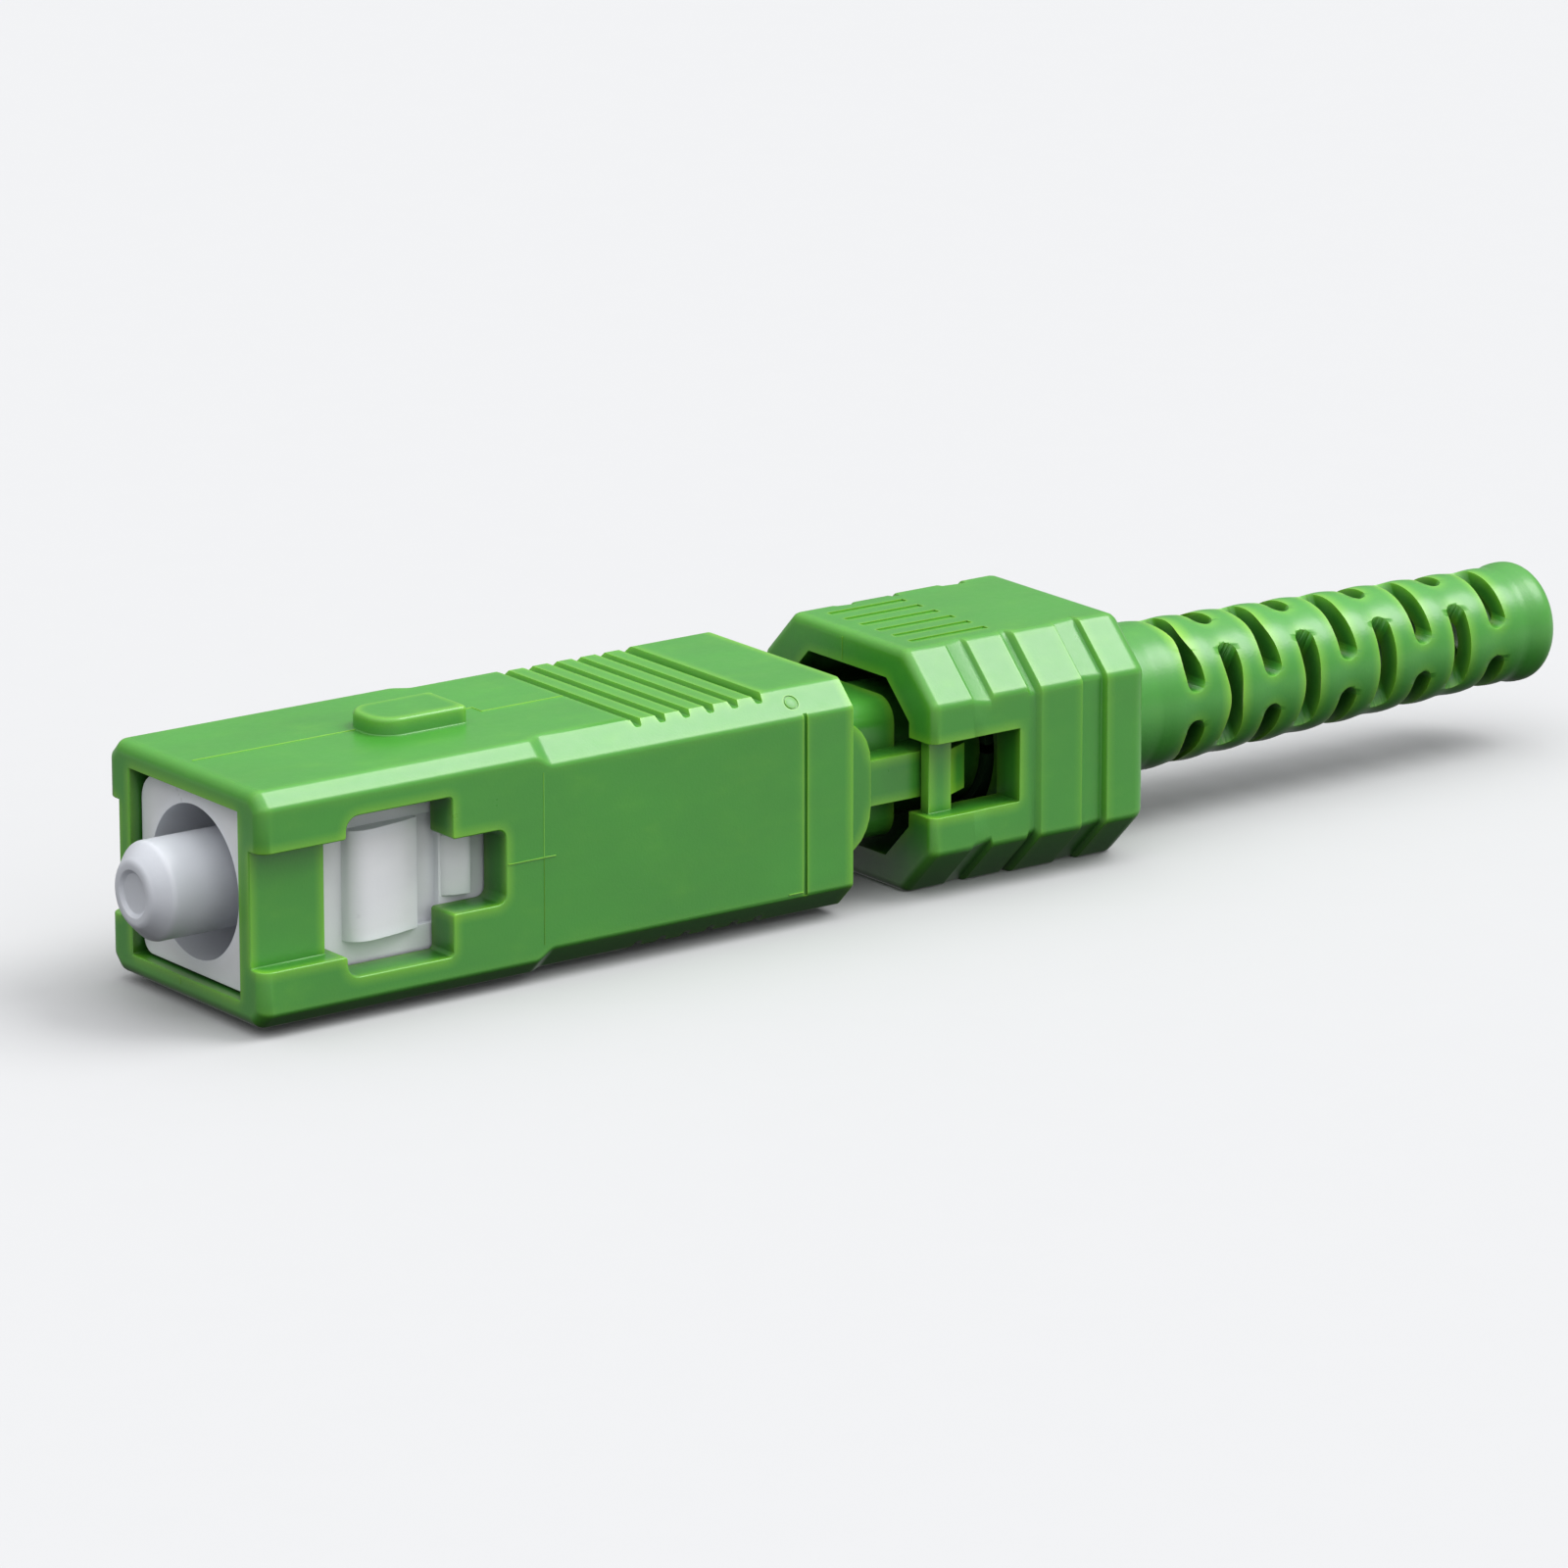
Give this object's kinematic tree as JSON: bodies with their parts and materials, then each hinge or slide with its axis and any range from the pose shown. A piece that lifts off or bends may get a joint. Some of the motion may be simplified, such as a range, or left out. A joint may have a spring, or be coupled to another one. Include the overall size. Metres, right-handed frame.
{
  "type": "sc fibre connector",
  "caption": "Green push-pull fibre connector with an angled ferrule under a dust cap, a locking sleeve and a slotted strain-relief boot.",
  "frame": {"origin": "ferrule axis, in the plane of the grip's front face", "axes": "+X from the mating face towards the boot, +Z the side with the polarising key, Y across the grip"},
  "size_m": [0.0551, 0.0092, 0.0083],
  "materials": {
    "green_plastic": "moulded polymer, satin, edges slightly translucent",
    "boot_plastic": "flexible moulded elastomer, satin",
    "white_plastic": "moulded, satin",
    "cap_plastic": "soft milky polyethylene, satin",
    "splice_plastic": "precision moulded, smooth",
    "zirconia": "ground and polished",
    "plated_brass": "nickel plated",
    "spring_steel": "bright",
    "fibre_glass": "clear"
  },
  "bodies": {
    "plug_body": {"plug_frame": "white_plastic", "main_spring": "spring_steel", "spring_seat": "spring_steel", "rear_body": "green_plastic", "guide_tube": "white_plastic", "locking_sleeve": "green_plastic", "cable_jaw_upper": "white_plastic", "cable_jaw_lower": "white_plastic", "jaw_ring": "spring_steel", "boot": "boot_plastic"},
    "push_pull_grip": {"outer_grip": "green_plastic"},
    "ferrule_unit": {"ferrule": "zirconia", "ferrule_flange": "plated_brass", "fibre_stub": "fibre_glass", "splice_holder": "white_plastic", "splice_base": "splice_plastic", "splice_lid": "splice_plastic", "splice_clamp": "spring_steel", "splice_wedge": "splice_plastic", "fibre_funnel": "white_plastic"},
    "cap": {"dust_cap": "cap_plastic"}
  },
  "joints": [
    {"name": "grip_slide", "type": "slide", "parent": "plug_body", "child": "push_pull_grip", "axis": [1, 0, 0], "range_m": [-0.0005, 0.001]},
    {"name": "ferrule_float", "type": "slide", "parent": "plug_body", "child": "ferrule_unit", "axis": [1, 0, 0], "range_m": [0, 0.001], "stiffness_N_per_m": 1500, "springref_m": -0.002, "deforming": ["main_spring"]},
    {"name": "cap_pull", "type": "slide", "parent": "ferrule_unit", "child": "cap", "axis": [-1, 0, 0], "range_m": [0, 0.008]}
  ]
}
